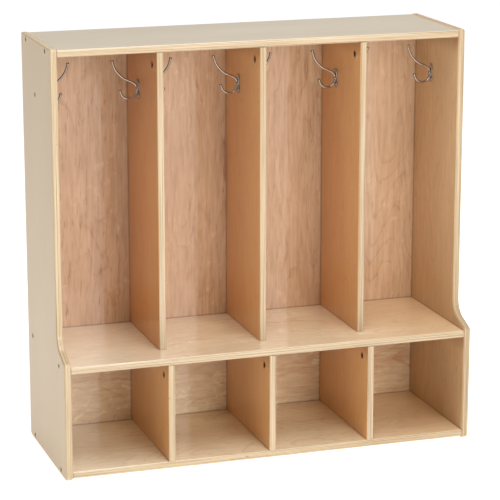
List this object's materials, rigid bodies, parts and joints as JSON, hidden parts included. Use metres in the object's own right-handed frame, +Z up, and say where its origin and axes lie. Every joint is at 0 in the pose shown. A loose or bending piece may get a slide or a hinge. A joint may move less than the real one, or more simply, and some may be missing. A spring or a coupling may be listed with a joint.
{
  "type": "school coat locker",
  "caption": "Open birch plywood coat locker for young children: tall bays with double coat hooks above a stepped seat, and open cubbies below.",
  "frame": {"origin": "on the floor, under the centre of the locker's width and depth", "axes": "+Z up, -Y out of the open front, +Y towards the back, +X to the right of a person who faces the open front"},
  "size_m": [0.914, 0.333, 0.902],
  "materials": {
    "birch_plywood": "clear satin lacquer over birch veneer, with the plies showing on the rounded edges",
    "birch_back_board": "clear satin lacquer over a thin figured birch veneer",
    "chrome": "polished chrome plate",
    "dark_steel": "dulled, browned steel",
    "zinc": "matt zinc die casting and zinc-plated steel",
    "beech": "bare beech"
  },
  "bodies": {
    "root": {"left_side_panel": "birch_plywood", "right_side_panel": "birch_plywood", "top_panel": "birch_plywood", "seat_panel": "birch_plywood", "bottom_panel": "birch_plywood", "upper_divider_1": "birch_plywood", "upper_divider_2": "birch_plywood", "upper_divider_3": "birch_plywood", "lower_divider_1": "birch_plywood", "lower_divider_2": "birch_plywood", "lower_divider_3": "birch_plywood", "upper_back_panel": "birch_back_board", "lower_back_panel": "birch_back_board", "coat_hook_1_left": "chrome", "coat_hook_1_right": "chrome", "coat_hook_2_left": "chrome", "coat_hook_2_right": "chrome", "coat_hook_3_left": "chrome", "coat_hook_3_right": "chrome", "coat_hook_4_left": "chrome", "coat_hook_4_right": "chrome", "screw_left_top_front": "dark_steel", "screw_left_top_rear": "dark_steel", "screw_left_seat_front": "dark_steel", "screw_left_seat_rear": "dark_steel", "screw_left_bottom_front": "dark_steel", "screw_left_bottom_rear": "dark_steel", "screw_right_top_front": "dark_steel", "screw_right_top_rear": "dark_steel", "screw_right_seat_front": "dark_steel", "screw_right_seat_rear": "dark_steel", "screw_right_bottom_front": "dark_steel", "screw_right_bottom_rear": "dark_steel", "hook_bolt_left": "dark_steel", "hook_bolt_right": "dark_steel", "hook_stud_1": "dark_steel", "hook_stud_2": "dark_steel", "hook_stud_3": "dark_steel", "cam_lock_upper_1": "zinc", "cam_lock_upper_2": "zinc", "cam_lock_upper_3": "zinc", "cam_lock_lower_1": "zinc", "cam_lock_lower_2": "zinc", "cam_lock_lower_3": "zinc", "cam_pin_upper_1": "zinc", "cam_pin_upper_2": "zinc", "cam_pin_upper_3": "zinc", "cam_pin_lower_1": "zinc", "cam_pin_lower_2": "zinc", "cam_pin_lower_3": "zinc", "dowel_upper_1": "beech", "dowel_upper_2": "beech", "dowel_upper_3": "beech", "dowel_lower_1": "beech", "dowel_lower_2": "beech", "dowel_lower_3": "beech"}
  },
  "joints": []
}
